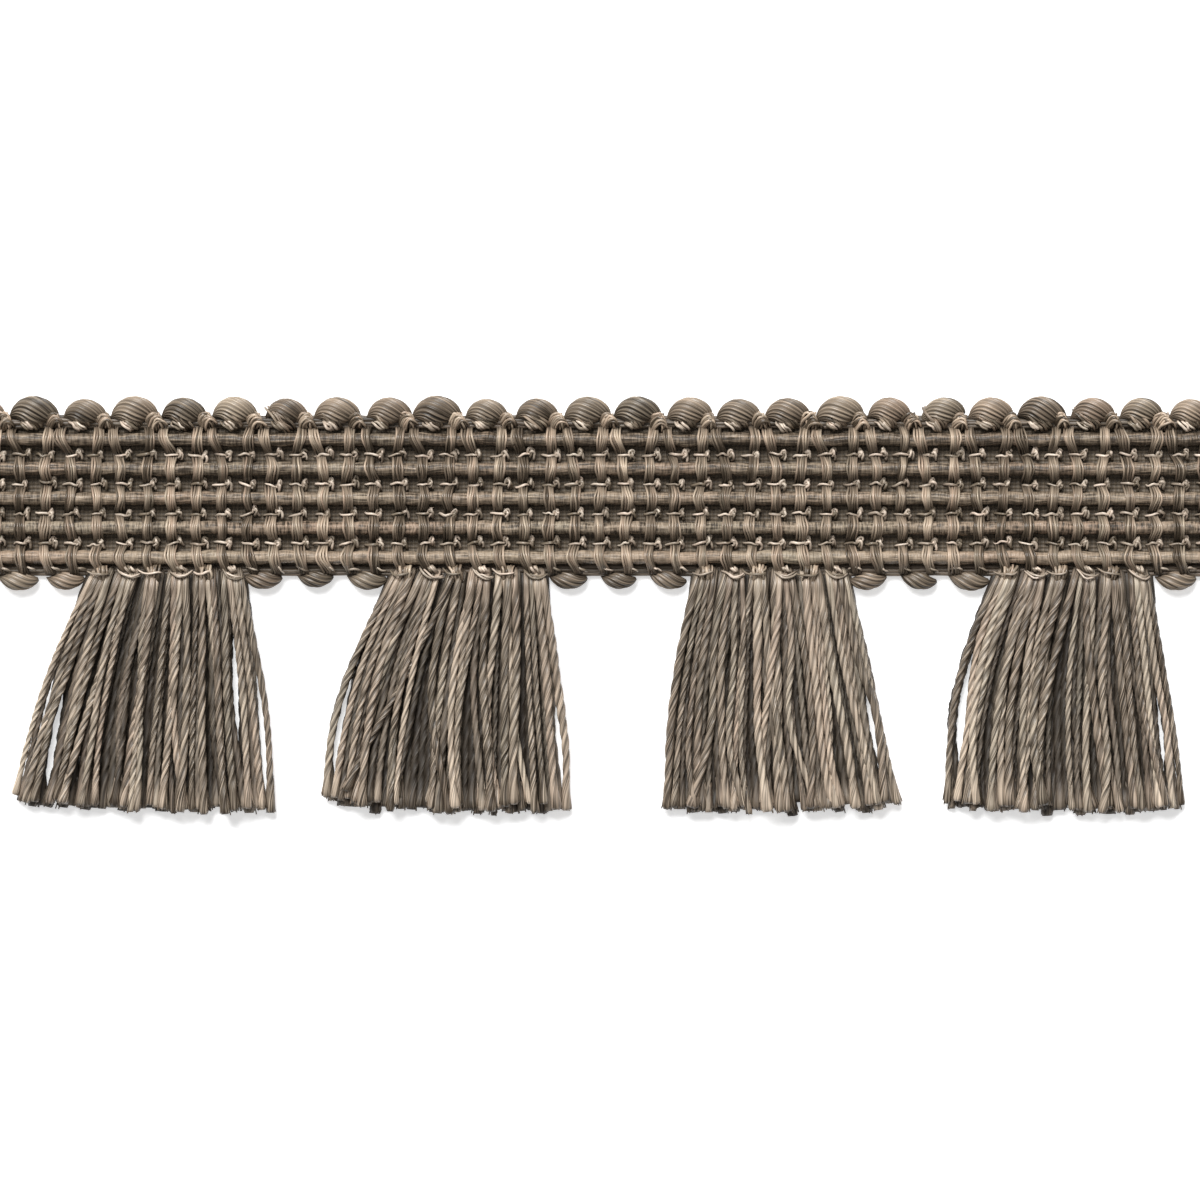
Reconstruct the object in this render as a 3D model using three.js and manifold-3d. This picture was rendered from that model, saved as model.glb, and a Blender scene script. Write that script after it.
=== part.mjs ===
// A cut length of bell fringe trim, lying face up: a woven heading with five raised gimp cords,
// a looped edge along the top and in the gaps below, and four flared skirts of cut yarn.
// Millimetres, +Z up. X runs along the trim, +Y towards the looped top edge, and the origin is
// the middle of the heading's flat back.
import * as THREE from "three";
import { mergeVertices } from "three/addons/utils/BufferGeometryUtils.js";
import Module from "manifold-3d";

const wasm = await Module();
wasm.setup();

// Driving dimensions
const LOOP_PITCH = 6.35; // one edge loop, which is two weft picks
const PICK_PITCH = LOOP_PITCH / 2;
const HEADING_LENGTH = 167.6;
const CLOTH_WIDTH = 17.8; // the woven ground, without the loops
const CLOTH_THICK = 1.0;
const PICK_RISE = 0.25; // each weft pick is a low bar across the ground
const GAP = 0.3; // between pieces that touch on the real trim

const CORD_COUNT = 5;
const CORD_PITCH = 3.72;
const CORD_WIDTH = 2.0;
const CORD_HEIGHT = 1.75;
const CORD_BASE = 0.8; // a cord's flat underside, as a share of its width
const KNUCKLE_RISE = 0.35; // where a pick passes over the cord
const KNUCKLE_SPREAD = 0.12;

const TOP_LOOPS = 26;
const TOP_LOOP_FIRST_X = -78.95;
const BOTTOM_LOOP_FIRST_X = -81.1;
const GAP_LOOPS = 3; // edge loops between two skirts
const LAST_GAP_LOOPS = 2; // and after the last skirt, where the length is cut

const REPEAT = 2 * GAP_LOOPS * LOOP_PITCH; // a skirt is as many picks wide as a gap
const SKIRT_FIRST_X = BOTTOM_LOOP_FIRST_X + (GAP_LOOPS + 1) * LOOP_PITCH;
const STRAND_LENGTH = 29.9;
const STRAND_WIDTH = 0.98;
const STRAND_HEIGHT = 0.86;
const STRANDS_PER_LAYER = 15;
const STRAND_STEPS = 4;
const ROOT_HALF = 9.4; // from a skirt's middle to its outermost strand, at the root
const STRIP_MARGIN = 0.55;
const STRIP_DEPTH = 1.3;
const STRIP_PROUD = 0.1; // the strip stands this far above the strands in it
const LENGTH_SPREAD = 0.5; // cut ends differ by this much at most
const STRAND_STRAY = 0.18; // and stand this far from their even place in the hem
const ROOT_STRAY = 0.06; // and leave the strip this far above or below their layer

// The layers of strands in a skirt, lowest first: the height of each layer's underside at the root
// and at the hem, the share of the strand's length in which it comes down, and how many strand
// pitches the layer stands to the right. The upper ones come down between the strands under them as
// the skirt spreads, so it is thick at the heading and low at the hem. The lowest one soon lies
// level on the surface.
const LAYERS = [
  { rootZ: 0.12, hemZ: 0, settledAt: 0.25, stagger: 0 },
  { rootZ: 1.11, hemZ: 0.55, settledAt: 1, stagger: 0.5 },
  { rootZ: 2.1, hemZ: 1.1, settledAt: 1, stagger: 0 },
];

// Each skirt flares in its own way: where its outermost strands end, from the skirt's middle,
// and how far each side bows out halfway down.
const SKIRTS = [
  { hemLeft: -19.5, hemRight: 13.7, bowLeft: -1.4, bowRight: 0.5 },
  { hemLeft: -18.8, hemRight: 12.8, bowLeft: -1.9, bowRight: 0.3 },
  { hemLeft: -13.7, hemRight: 16.3, bowLeft: -1.0, bowRight: 0.1 },
  { hemLeft: -16.3, hemRight: 14.1, bowLeft: -2.4, bowRight: 0.3 },
];

// The edge loops as a chain: how far along one loop each ring stands, and its radius as a share.
const LOOP_RINGS = [
  { along: 0.0, swell: 0.34 },
  { along: 0.15, swell: 0.72 },
  { along: 0.38, swell: 1.0 },
  { along: 0.64, swell: 1.0 },
  { along: 0.86, swell: 0.74 },
];
// Each edge: which side of the heading it is on, how far its loops reach across and up from their
// middle, and how far the ridges turn from ring to ring, in radians.
const TOP_EDGE = { side: 1, across: 1.56, up: 1.56, turn: 0.4 };
const BOTTOM_EDGE = { side: -1, across: 1.45, up: 1.21, turn: -0.4 };
const LOOP_SIDES = 8;
const LOOP_FURROW = 0.86; // every other edge of a loop lies this much nearer its middle
const LOOP_STRAY = 0.04; // loops differ in size by this share
const LOOP_LEAN = 0.25; // each loop stands a little further out at its right end
const LOOP_CLEAR = 0.16; // under the loops
const RUN_END_IN = 0.85; // a run of loops stops this far short of a whole pitch at each end
const RUN_END_TAPER = 0.7; // and thins over this length there

const yarn = (name, colour) =>
  new THREE.MeshStandardMaterial({ name, color: colour, roughness: 0.62, metalness: 0 });
const groundYarn = yarn("ground", 0x6b6052);
const gimpYarn = yarn("gimp", 0x9a8f80);
const loopYarn = yarn("loops", 0x948a7a);
const skirtYarn = yarn("skirt", 0x8f8474);

// A number from -1 to 1 that is always the same for the same seed.
function wobble(seed) {
  const s = Math.sin(seed * 127.1 + 311.7) * 43758.5453;
  return 2 * (s - Math.floor(s)) - 1;
}

const mix = (a, b, share) => a + (b - a) * share;

// A closed body through rings of points: walls between neighbours, and a fan over each end.
function loft(rings) {
  const sides = rings[0].length;
  const index = [];
  for (let r = 0; r + 1 < rings.length; r++) {
    for (let s = 0; s < sides; s++) {
      const a = r * sides + s;
      const b = r * sides + ((s + 1) % sides);
      index.push(a, b, b + sides, a, b + sides, a + sides);
    }
  }
  const last = (rings.length - 1) * sides;
  for (let s = 1; s + 1 < sides; s++) {
    index.push(0, s + 1, s);
    index.push(last, last + s, last + s + 1);
  }
  return new THREE.BufferGeometry()
    .setAttribute("position", new THREE.Float32BufferAttribute(rings.flat(2), 3))
    .setIndex(index);
}

// A geometry as a solid that can be joined, and such a solid as a geometry again.
function solidOf(geometry) {
  const bare = geometry.clone();
  bare.deleteAttribute("normal");
  bare.deleteAttribute("uv");
  const merged = mergeVertices(bare, 1e-4);
  return new wasm.Manifold(
    new wasm.Mesh({
      numProp: 3,
      vertProperties: merged.attributes.position.array,
      triVerts: new Uint32Array(merged.index.array),
    }),
  );
}

function geometryOf(solid) {
  const mesh = solid.getMesh();
  return new THREE.BufferGeometry()
    .setAttribute("position", new THREE.Float32BufferAttribute(mesh.vertProperties, 3))
    .setIndex([...mesh.triVerts]);
}

// Where the weft picks cross the heading: two for each edge loop.
function pickPlaces() {
  const places = [];
  for (let x = TOP_LOOP_FIRST_X - PICK_PITCH / 2; x < HEADING_LENGTH / 2 - 1; x += PICK_PITCH) {
    places.push(x);
  }
  return places;
}

// The woven ground: a sheet with a flat back, and a low bar across its face for each weft pick.
function groundCloth() {
  const half = HEADING_LENGTH / 2;
  const side = new THREE.Shape();
  side.moveTo(-half, 0);
  side.lineTo(half, 0);
  side.lineTo(half, CLOTH_THICK);
  for (const x of pickPlaces().reverse()) {
    side.lineTo(x + PICK_PITCH / 2, CLOTH_THICK);
    side.lineTo(x, CLOTH_THICK + PICK_RISE);
  }
  side.lineTo(-half, CLOTH_THICK);
  const cloth = new THREE.ExtrudeGeometry(side, { depth: CLOTH_WIDTH, bevelEnabled: false });
  const mesh = new THREE.Mesh(cloth, groundYarn);
  mesh.name = "woven_ground";
  mesh.rotation.x = Math.PI / 2;
  mesh.position.y = CLOTH_WIDTH / 2;
  return mesh;
}

// One gimp cord: a low round bar that swells into a knuckle under each pick.
function gimpCord(number) {
  const half = HEADING_LENGTH / 2;
  const ring = (x, knuckle) => {
    const w = CORD_WIDTH / 2 + KNUCKLE_SPREAD * knuckle;
    const top = CORD_HEIGHT + KNUCKLE_RISE * (knuckle - 1);
    return [
      [x, w * CORD_BASE, 0],
      [x, w, top / 2],
      [x, 0, top],
      [x, -w, top / 2],
      [x, -w * CORD_BASE, 0],
    ];
  };
  const rings = [ring(-half, 0)];
  for (const x of pickPlaces()) {
    rings.push(ring(x, 1));
    rings.push(ring(x + PICK_PITCH / 2, 0));
  }
  rings.push(ring(half, 0));
  const mesh = new THREE.Mesh(loft(rings), gimpYarn);
  mesh.name = `gimp_cord_${number + 1}`;
  const middle = (CORD_COUNT - 1) / 2;
  mesh.position.set(0, (middle - number) * CORD_PITCH, CLOTH_THICK + PICK_RISE + GAP);
  return mesh;
}

// A run of edge loops, in one chain as the weft makes them: fat between the bindings, thin at them,
// and ridged like a rope.
function loopRun(name, firstX, count, edge) {
  const rings = [];
  const middleY = CLOTH_WIDTH / 2 + GAP + edge.across;
  const addRing = (x, size, lean) => {
    const outY = middleY - (edge.across * (1 - size)) / 2 + lean;
    const points = [];
    for (let s = 0; s < LOOP_SIDES; s++) {
      const angle = (2 * Math.PI * s) / LOOP_SIDES + edge.turn * rings.length;
      const reach = size * (s % 2 ? LOOP_FURROW : 1);
      points.push([
        x,
        edge.side * outY + edge.across * reach * Math.cos(angle),
        LOOP_CLEAR + edge.up + edge.up * reach * Math.sin(angle),
      ]);
    }
    rings.push(points);
  };
  const startX = firstX - LOOP_PITCH / 2 + RUN_END_IN;
  const endX = firstX + (count - 0.5) * LOOP_PITCH - RUN_END_IN;
  for (let n = 0; n < count; n++) {
    const size = 1 + LOOP_STRAY * wobble(firstX + n);
    for (const { along, swell } of LOOP_RINGS) {
      const evenX = firstX + (n + along - 0.5) * LOOP_PITCH;
      const clearX = Math.min(Math.max(evenX, startX + RUN_END_TAPER), endX - RUN_END_TAPER);
      addRing(rings.length ? clearX : startX, size * swell, LOOP_LEAN * (along - 0.5) * swell);
    }
  }
  addRing(endX, LOOP_RINGS[0].swell, 0);
  const mesh = new THREE.Mesh(loft(rings), loopYarn);
  mesh.name = name;
  return mesh;
}

// One strand's rings: it leaves the strip at across (-1 to 1) and runs to its own place in the hem.
// Its base is flat, so that the lowest layer rests level.
function strandRings(skirt, layer, across, seed) {
  const share = (across + 1) / 2;
  const rootX = across * ROOT_HALF;
  const hemX = mix(skirt.hemLeft, skirt.hemRight, share);
  const bow = mix(skirt.bowLeft, skirt.bowRight, share);
  const rootZ = layer.rootZ + ROOT_STRAY * wobble(seed + 0.3);
  const length = STRAND_LENGTH + LENGTH_SPREAD * (wobble(seed + 0.5) - 1) * 0.5;
  const fall = Math.sqrt(length ** 2 - (hemX - rootX) ** 2);
  const w = STRAND_WIDTH / 2;
  const rings = [];
  for (let step = 0; step <= STRAND_STEPS; step++) {
    const t = step / STRAND_STEPS;
    const x = mix(rootX, hemX, t) + 4 * bow * t * (1 - t) + STRAND_STRAY * t * t * wobble(seed);
    const y = STRIP_DEPTH * 0.5 * (1 - t) - t * fall;
    const z = mix(rootZ, layer.hemZ, Math.min(1, t / layer.settledAt));
    rings.push([
      [x - w, y, z],
      [x + w, y, z],
      [x, y, z + STRAND_HEIGHT],
    ]);
  }
  return rings;
}

// One bell skirt: strands in staggered layers, fused at the root into a narrow strip.
function bellSkirt(number) {
  const skirt = SKIRTS[number];
  const stripHeight = LAYERS.at(-1).rootZ + STRAND_HEIGHT + STRIP_PROUD;
  const strip = new THREE.BoxGeometry(2 * (ROOT_HALF + STRIP_MARGIN), STRIP_DEPTH, stripHeight);
  strip.translate(0, STRIP_DEPTH / 2, stripHeight / 2);
  let whole = solidOf(strip);
  for (const [level, layer] of LAYERS.entries()) {
    for (let n = 0; n < STRANDS_PER_LAYER; n++) {
      const place = (n + layer.stagger) / (STRANDS_PER_LAYER - 0.5);
      const seed = 100 * number + 20 * level + n;
      whole = whole.add(solidOf(loft(strandRings(skirt, layer, 2 * place - 1, seed))));
    }
  }
  const mesh = new THREE.Mesh(geometryOf(whole), skirtYarn);
  mesh.name = `bell_skirt_${number + 1}`;
  mesh.position.set(SKIRT_FIRST_X + number * REPEAT, -(CLOTH_WIDTH / 2 + GAP + STRIP_DEPTH), 0);
  return mesh;
}

const trim = new THREE.Group();
trim.add(groundCloth());
for (let n = 0; n < CORD_COUNT; n++) {
  trim.add(gimpCord(n));
}
trim.add(loopRun("top_loops", TOP_LOOP_FIRST_X, TOP_LOOPS, TOP_EDGE));
for (let gap = 0; gap <= SKIRTS.length; gap++) {
  const firstX = BOTTOM_LOOP_FIRST_X + gap * REPEAT;
  const count = gap < SKIRTS.length ? GAP_LOOPS : LAST_GAP_LOOPS;
  trim.add(loopRun(`bottom_loops_${gap + 1}`, firstX, count, BOTTOM_EDGE));
}
for (let n = 0; n < SKIRTS.length; n++) {
  trim.add(bellSkirt(n));
}

export default trim;
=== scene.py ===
# %% [markdown]
# # Bell fringe trim, lying face up
# Every size is worked out in millimetres and turned to metres when a mesh is made. X runs along the
# trim, +Y towards the looped top edge, and +Z out of its face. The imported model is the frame: each
# visible piece stands where its solid stands.

# %% The frame
import math

import bpy
import numpy as np
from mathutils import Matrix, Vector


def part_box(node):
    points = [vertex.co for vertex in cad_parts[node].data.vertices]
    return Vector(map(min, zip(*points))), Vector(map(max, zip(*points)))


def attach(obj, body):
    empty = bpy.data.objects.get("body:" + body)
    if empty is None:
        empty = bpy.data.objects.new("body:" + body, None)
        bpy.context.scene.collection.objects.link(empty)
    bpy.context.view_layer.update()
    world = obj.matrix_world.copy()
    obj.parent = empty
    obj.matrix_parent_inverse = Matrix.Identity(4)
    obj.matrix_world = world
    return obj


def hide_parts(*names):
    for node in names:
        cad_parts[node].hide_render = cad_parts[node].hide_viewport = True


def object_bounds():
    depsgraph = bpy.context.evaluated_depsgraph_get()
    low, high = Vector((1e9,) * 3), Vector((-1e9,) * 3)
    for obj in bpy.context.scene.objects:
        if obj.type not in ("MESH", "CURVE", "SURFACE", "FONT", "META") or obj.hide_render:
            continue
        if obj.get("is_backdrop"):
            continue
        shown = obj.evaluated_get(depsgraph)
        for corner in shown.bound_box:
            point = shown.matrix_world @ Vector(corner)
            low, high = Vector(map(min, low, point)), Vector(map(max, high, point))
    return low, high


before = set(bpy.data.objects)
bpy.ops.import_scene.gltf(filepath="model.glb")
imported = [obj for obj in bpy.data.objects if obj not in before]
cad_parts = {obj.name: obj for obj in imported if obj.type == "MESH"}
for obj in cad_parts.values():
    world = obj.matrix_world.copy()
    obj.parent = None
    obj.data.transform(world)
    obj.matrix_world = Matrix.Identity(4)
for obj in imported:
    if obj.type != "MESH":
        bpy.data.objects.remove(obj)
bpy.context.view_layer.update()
MM = 0.001


def box_mm(node):
    """The node's lowest and highest corner, in millimetres."""
    low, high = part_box(node)
    return np.array(low) / MM, np.array(high) / MM


ground_low, ground_high = box_mm("woven_ground")
print("heading", (ground_high - ground_low).round(2), "mm")

# %% [markdown]
# The camera looks straight down from far away through a long lens, so that nothing leans. It sees
# a square of 151 mm, a little less than the length of the trim.

# %% Camera
VIEW_ACROSS = 151.2
VIEW_CENTRE = (-1.13, -12.98)
FACE_HEIGHT = 2.5
SENSOR = 36.0
LENS = 200.0

camera_data = bpy.data.cameras.new("camera")
camera_data.lens = LENS
camera_data.sensor_width = SENSOR
camera_data.clip_start = 0.01
camera = bpy.data.objects.new("camera", camera_data)
distance = VIEW_ACROSS * LENS / SENSOR + FACE_HEIGHT
camera.location = (VIEW_CENTRE[0] * MM, VIEW_CENTRE[1] * MM, distance * MM)
bpy.context.collection.objects.link(camera)
bpy.context.scene.camera = camera
print("camera", round(distance), "mm above the table")

# %% [markdown]
# Satin yarn is all highlights and gaps. The main light comes from the upper left, about 40 degrees
# off the vertical: the lower side of each cord is dark and shades half of the furrow under it. A
# broad weak one fills the rest. Suns with a wide angle do this at any distance. The table is white
# and glows a little, so that shadows on it stay faint, as in an over-lit studio shot.

# %% Light and table
def sun(name, strength, spread_degrees, tilt_degrees, turn_degrees):
    """A distant light: tilt 0 shines straight down, and turn swings the tilted light about Z."""
    data = bpy.data.lights.new(name, "SUN")
    data.energy = strength
    data.angle = math.radians(spread_degrees)
    lamp = bpy.data.objects.new(name, data)
    lamp.rotation_euler = (math.radians(tilt_degrees), 0, math.radians(turn_degrees))
    bpy.context.collection.objects.link(lamp)


sun("key_light", strength=4.5, spread_degrees=36, tilt_degrees=-41, turn_degrees=18)
sun("fill_light", strength=0.28, spread_degrees=70, tilt_degrees=8, turn_degrees=-20)
ROOM_LIGHT = 0.13
world = bpy.data.worlds.new("studio")
world.use_nodes = True
background = world.node_tree.nodes["Background"].inputs
background["Color"].default_value = (1, 1, 1, 1)
background["Strength"].default_value = ROOM_LIGHT
bpy.context.scene.world = world
bpy.context.scene.view_settings.view_transform = "Standard"

TABLE_HALF = 1.5
table_mesh = bpy.data.meshes.new("table")
corners = [(-1, -1), (1, -1), (1, 1), (-1, 1)]
table_mesh.from_pydata([(x * TABLE_HALF, y * TABLE_HALF, 0) for x, y in corners], [], [(0, 1, 2, 3)])
table = bpy.data.objects.new("table", table_mesh)
bpy.context.collection.objects.link(table)
table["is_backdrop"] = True

# %% [markdown]
# Shader maths reads best as formulas. `Value` wraps a socket, so that `1 - mask * 2` adds the Math
# nodes by itself, and `Shader.node` makes any other node from its settings and inputs.

# %% Shader formulas
class Value:
    """A number that varies over the surface: a socket with arithmetic."""

    def __init__(self, shader, socket):
        self.shader = shader
        self.socket = socket

    def _math(self, operation, *values):
        return self.shader.node("ShaderNodeMath", {"operation": operation}, dict(enumerate(values)))

    def __add__(self, other):
        return self._math("ADD", self, other)

    def __radd__(self, other):
        return self._math("ADD", other, self)

    def __sub__(self, other):
        return self._math("SUBTRACT", self, other)

    def __rsub__(self, other):
        return self._math("SUBTRACT", other, self)

    def __mul__(self, other):
        return self._math("MULTIPLY", self, other)

    def __rmul__(self, other):
        return self._math("MULTIPLY", other, self)

    def sin(self):
        return self._math("SINE", self)

    def cos(self):
        return self._math("COSINE", self)

    def clamp(self):
        return self._math("MINIMUM", self._math("MAXIMUM", self, 0.0), 1.0)


class Shader:
    """One material's nodes."""

    def __init__(self, name):
        self.material = bpy.data.materials.new(name)
        self.material.use_nodes = True
        self.tree = self.material.node_tree
        self.surface = self.tree.nodes["Principled BSDF"]

    def node(self, kind, settings, inputs, output=0):
        """Adds a node: settings first, then its inputs' values or links. Returns one output."""
        made = self.tree.nodes.new(kind)
        for key, value in settings.items():
            setattr(made, key, value)
        for key, value in inputs.items():
            self.feed(made.inputs[key], value)
        return Value(self, made.outputs[output])

    def feed(self, socket, value):
        """Links a varying value to a socket, or sets a constant on it."""
        if isinstance(value, Value):
            self.tree.links.new(value.socket, socket)
        else:
            socket.default_value = value

    def noise(self, x, y, z, scale, detail=2.0):
        """Soft noise of three coordinates, from about 0.2 to 0.8."""
        place = self.node("ShaderNodeCombineXYZ", {}, {0: x, 1: y, 2: z})
        inputs = {"Vector": place, "Scale": scale, "Detail": detail}
        return self.node("ShaderNodeTexNoise", {}, inputs)

    def blend(self, share, first, second):
        """A colour between two, by a share from 0 to 1."""
        inputs = {"Factor": share, 6: first, 7: second}
        return self.node("ShaderNodeMix", {"data_type": "RGBA"}, inputs, output=2)

    def bump(self, height, distance_mm):
        """A normal from a height."""
        inputs = {"Height": height, "Distance": distance_mm * MM, "Strength": 1.0}
        return self.node("ShaderNodeBump", {}, inputs)


# %% [markdown]
# The whole trim is one family of taupe satin yarn. A strand's colour wanders a little from its
# neighbours' and along its length, and fine fibres run along it as streaks, which also raise the
# surface. The mesh carries three things for this: a UV map, with millimetres along the strand and
# the share of a turn around it; `tone`, a number from 0 to 1 for each strand; and `depth`,
# which is 1 for yarn on the face and falls where yarn lies deep, to paint shade into its colour.

# %% Satin yarn
# Painted shade: the colour that yarn which lies deep is darkened towards.
PAINTED_SHADE_COLOUR = (41, 34, 26)
WRAP_PITCH = 0.22
ROSE = 9  # how much less green and blue the rosier strands have
BRUSH_DULL = 0.25
# How much the streaks, the strand's own tone and slow patches along it count in its colour, and
# what is taken off so that the sum runs from about 0 to 1.
STREAK_WEIGHT = 2.6
TONE_WEIGHT = 0.9
PATCH_WEIGHT = 0.7
SHARE_OFFSET = 1.62


def rgb(red, green, blue):
    """A colour from sRGB bytes, as the linear values that shaders use."""
    srgb = np.array([red, green, blue]) / 255
    linear = np.where(srgb > 0.04045, ((srgb + 0.055) / 1.055) ** 2.4, srgb / 12.92)
    return (*linear.tolist(), 1.0)


def satin_yarn(
    name, shade, light, roughness, fibres_around, relief_mm, streak_mm=12.0, wraps=0.0, brush_mm=0.0
):
    """Streaks are noise that is stretched along the strand: x = length / streak_mm, and a circle of
    radius fibres_around / 2 pi for the way around. The colour runs from shade to light with the
    streaks and with the strand's own tone, and some strands are a little rosier. Tone times a
    large number gives each strand its own place in the noise. Wraps are noise that is stretched
    across the strand instead. A brush, where the length in the map is near 0, is duller than the
    twisted strand."""
    shader = Shader(name)
    uv = shader.node("ShaderNodeUVMap", {"uv_map": "yarn"}, {})
    along = shader.node("ShaderNodeSeparateXYZ", {}, {"Vector": uv}, output=0)
    around = shader.node("ShaderNodeSeparateXYZ", {}, {"Vector": uv}, output=1) * (2 * math.pi)
    tone = shader.node("ShaderNodeAttribute", {"attribute_name": "tone"}, {}, output=2)
    depth = shader.node("ShaderNodeAttribute", {"attribute_name": "depth"}, {}, output=2)
    radius = fibres_around / (2 * math.pi)
    start = along * (1 / streak_mm) + tone * 61
    streak = shader.noise(start, around.cos() * radius, around.sin() * radius, scale=1.0, detail=3.0)
    patch = shader.noise(along * 0.35, tone * 40, 0.0, scale=1.0, detail=1.0)
    share = streak * STREAK_WEIGHT + tone * TONE_WEIGHT + patch * PATCH_WEIGHT - SHARE_OFFSET
    height = streak
    if wraps:
        across = around.cos() * 0.5 + tone * 40
        wrap = shader.noise(along * (1 / WRAP_PITCH), across, around.sin() * 0.5, scale=1.0)
        share = share + wrap * (2 * wraps) - wraps
        height = height + wrap * (2 * wraps)
    if brush_mm:
        share = share - (1 - along * (1 / brush_mm)).clamp() * BRUSH_DULL
    rosy = (light[0], light[1] - ROSE, light[2] - ROSE)
    hue = shader.noise(tone * 90, along * 0.05, 0.0, scale=1.0, detail=1.0) * 2.4 - 0.7
    light_colour = shader.blend(hue.clamp(), rgb(*light), rgb(*rosy))
    colour = shader.blend(share.clamp(), rgb(*shade), light_colour)
    # Painted shade: where yarn lies deep, its colour is blended towards the dark shade colour.
    colour = shader.blend(depth, rgb(*PAINTED_SHADE_COLOUR), colour)
    shader.feed(shader.surface.inputs["Base Color"], colour)
    shader.feed(shader.surface.inputs["Roughness"], roughness + 0.32 - streak * 0.24 - depth * 0.2)
    shader.feed(shader.surface.inputs["Normal"], shader.bump(height, relief_mm))
    shader.surface.inputs["Specular IOR Level"].default_value = 0.5
    return shader.material


BRUSH = 4.0
skirt_satin = satin_yarn("skirt_satin", (64, 54, 43), (220, 205, 183), 0.32, 22, 0.1, brush_mm=BRUSH)
tip_satin = satin_yarn("tip_satin", (92, 80, 66), (178, 163, 143), 0.45, 3, 0.02)
gimp_satin = satin_yarn("gimp_satin", (64, 54, 43), (165, 151, 130), 0.42, 22, 0.12, 3.0, wraps=0.7)
wrapped_satin = satin_yarn("wrapped_satin", (58, 49, 39), (163, 149, 129), 0.44, 12, 0.14, 3.5, wraps=1.3)
weft_satin = satin_yarn("weft_satin", (78, 67, 54), (194, 178, 156), 0.33, 3, 0.02)
tie_satin = satin_yarn("tie_satin", (120, 108, 92), (220, 207, 189), 0.32, 3, 0.02)
loop_satin = satin_yarn("loop_satin", (58, 49, 38), (180, 166, 145), 0.34, 60, 0.03)

# %% [markdown]
# Table and woven ground need finishes of their own. The ground is seen only at the bottom of the
# furrows and from behind, where it is a dense plain weave: two crossed sets of ridges, worked out
# from object coordinates, because it lies flat.

# %% Table and ground finishes
TABLE_WHITE = 0.93
TABLE_GLOW = 0.5


def table_finish():
    """A white surface that glows a little, with the faintest mottle in its roughness."""
    shader = Shader("table_white")
    place = shader.node("ShaderNodeTexCoord", {}, {}, output=3)
    mottle = shader.node("ShaderNodeTexNoise", {}, {"Vector": place, "Scale": 40.0})
    shader.feed(shader.surface.inputs["Roughness"], 0.6 + mottle * 0.1)
    shader.surface.inputs["Base Color"].default_value = (TABLE_WHITE, TABLE_WHITE, TABLE_WHITE, 1)
    shader.surface.inputs["Specular IOR Level"].default_value = 0.0
    shader.surface.inputs["Emission Color"].default_value = (1, 1, 1, 1)
    shader.surface.inputs["Emission Strength"].default_value = TABLE_GLOW
    return shader.material


def ground_finish(warp_pitch, weft_pitch):
    """height = half the squared sine across the warps + half the squared sine across the wefts. The
    colour follows the height, darker in the hollows as painted shade, and a fine grain."""
    shader = Shader("ground_weave")
    place = shader.node("ShaderNodeTexCoord", {}, {}, output=3)
    x = shader.node("ShaderNodeSeparateXYZ", {}, {"Vector": place}, output=0) * (math.pi / MM)
    y = shader.node("ShaderNodeSeparateXYZ", {}, {"Vector": place}, output=1) * (math.pi / MM)
    weft = (x * (1 / weft_pitch)).sin()
    warp = (y * (1 / warp_pitch)).sin()
    height = weft * weft * 0.5 + warp * warp * 0.5
    grain = shader.noise(x * 0.3, y * 1.4, 0.0, scale=1.0, detail=2.0)
    # Painted shade: the colour is darker where the weave is low.
    share = (height * 0.6 + grain * 0.6 - 0.15).clamp()
    colour = shader.blend(share, rgb(62, 53, 42), rgb(124, 110, 92))
    shader.feed(shader.surface.inputs["Base Color"], colour)
    shader.feed(shader.surface.inputs["Roughness"], 0.5 + grain * 0.2)
    shader.feed(shader.surface.inputs["Normal"], shader.bump(height + grain * 0.4, 0.12))
    return shader.material


table_mesh.materials.append(table_finish())
ground_satin = ground_finish(warp_pitch=0.5, weft_pitch=0.53)

# %% [markdown]
# Yarn is a profile carried along a path, so one function makes every strand of a piece at once as
# arrays: paths by strand and ring, and profiles around each ring. A mesh is then filled with
# `foreach_set`, which takes whole arrays.

# %% Strands as arrays
random = np.random.default_rng(20)
PRESSED = 0.03  # no yarn lies nearer the table than this


def unit(vectors):
    """Each vector divided by its length."""
    return vectors / np.maximum(np.linalg.norm(vectors, axis=-1, keepdims=True), 1e-9)


def through(stations, rings):
    """Weights (rings, stations) of a smooth curve through evenly spaced stations: on each stretch the
    Catmull-Rom cubic of its two ends and their neighbours."""
    t = np.linspace(0, stations - 1, rings)
    start = np.minimum(t.astype(int), stations - 2)
    f = t - start
    cubics = [
        (-f**3 + 2 * f**2 - f) / 2,
        (3 * f**3 - 5 * f**2 + 2) / 2,
        (-3 * f**3 + 4 * f**2 + f) / 2,
        (f**3 - f**2) / 2,
    ]
    weights = np.zeros((rings, stations))
    for step, cubic in enumerate(cubics):
        np.add.at(weights, (np.arange(rings), np.clip(start + step - 1, 0, stations - 1)), cubic)
    return weights


def carried(path, radius, profile, turn, reference):
    """Rings of points (strands, rings, around, 3): point = path + radius * profile * (cos(angle) *
    side + sin(angle) * up), where side and up stand square to the path, side as the cross product
    of the reference and the path's direction, and angle grows around the ring from turn."""
    forward = unit(np.gradient(path, axis=1))
    side = unit(np.cross(np.asarray(reference, float), forward))
    up = np.cross(forward, side)
    around = profile.shape[-1]
    angle = 2 * np.pi * np.arange(around) / around + turn[..., None]
    reach = radius[..., None] * profile
    across = np.cos(angle)[..., None] * side[:, :, None] + np.sin(angle)[..., None] * up[:, :, None]
    return path[:, :, None] + reach[..., None] * across


def lengths(path):
    """Millimetres along each path, ring by ring."""
    steps = np.linalg.norm(np.diff(path, axis=1), axis=-1)
    return np.concatenate([np.zeros((len(path), 1)), np.cumsum(steps, axis=1)], axis=1)


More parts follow.
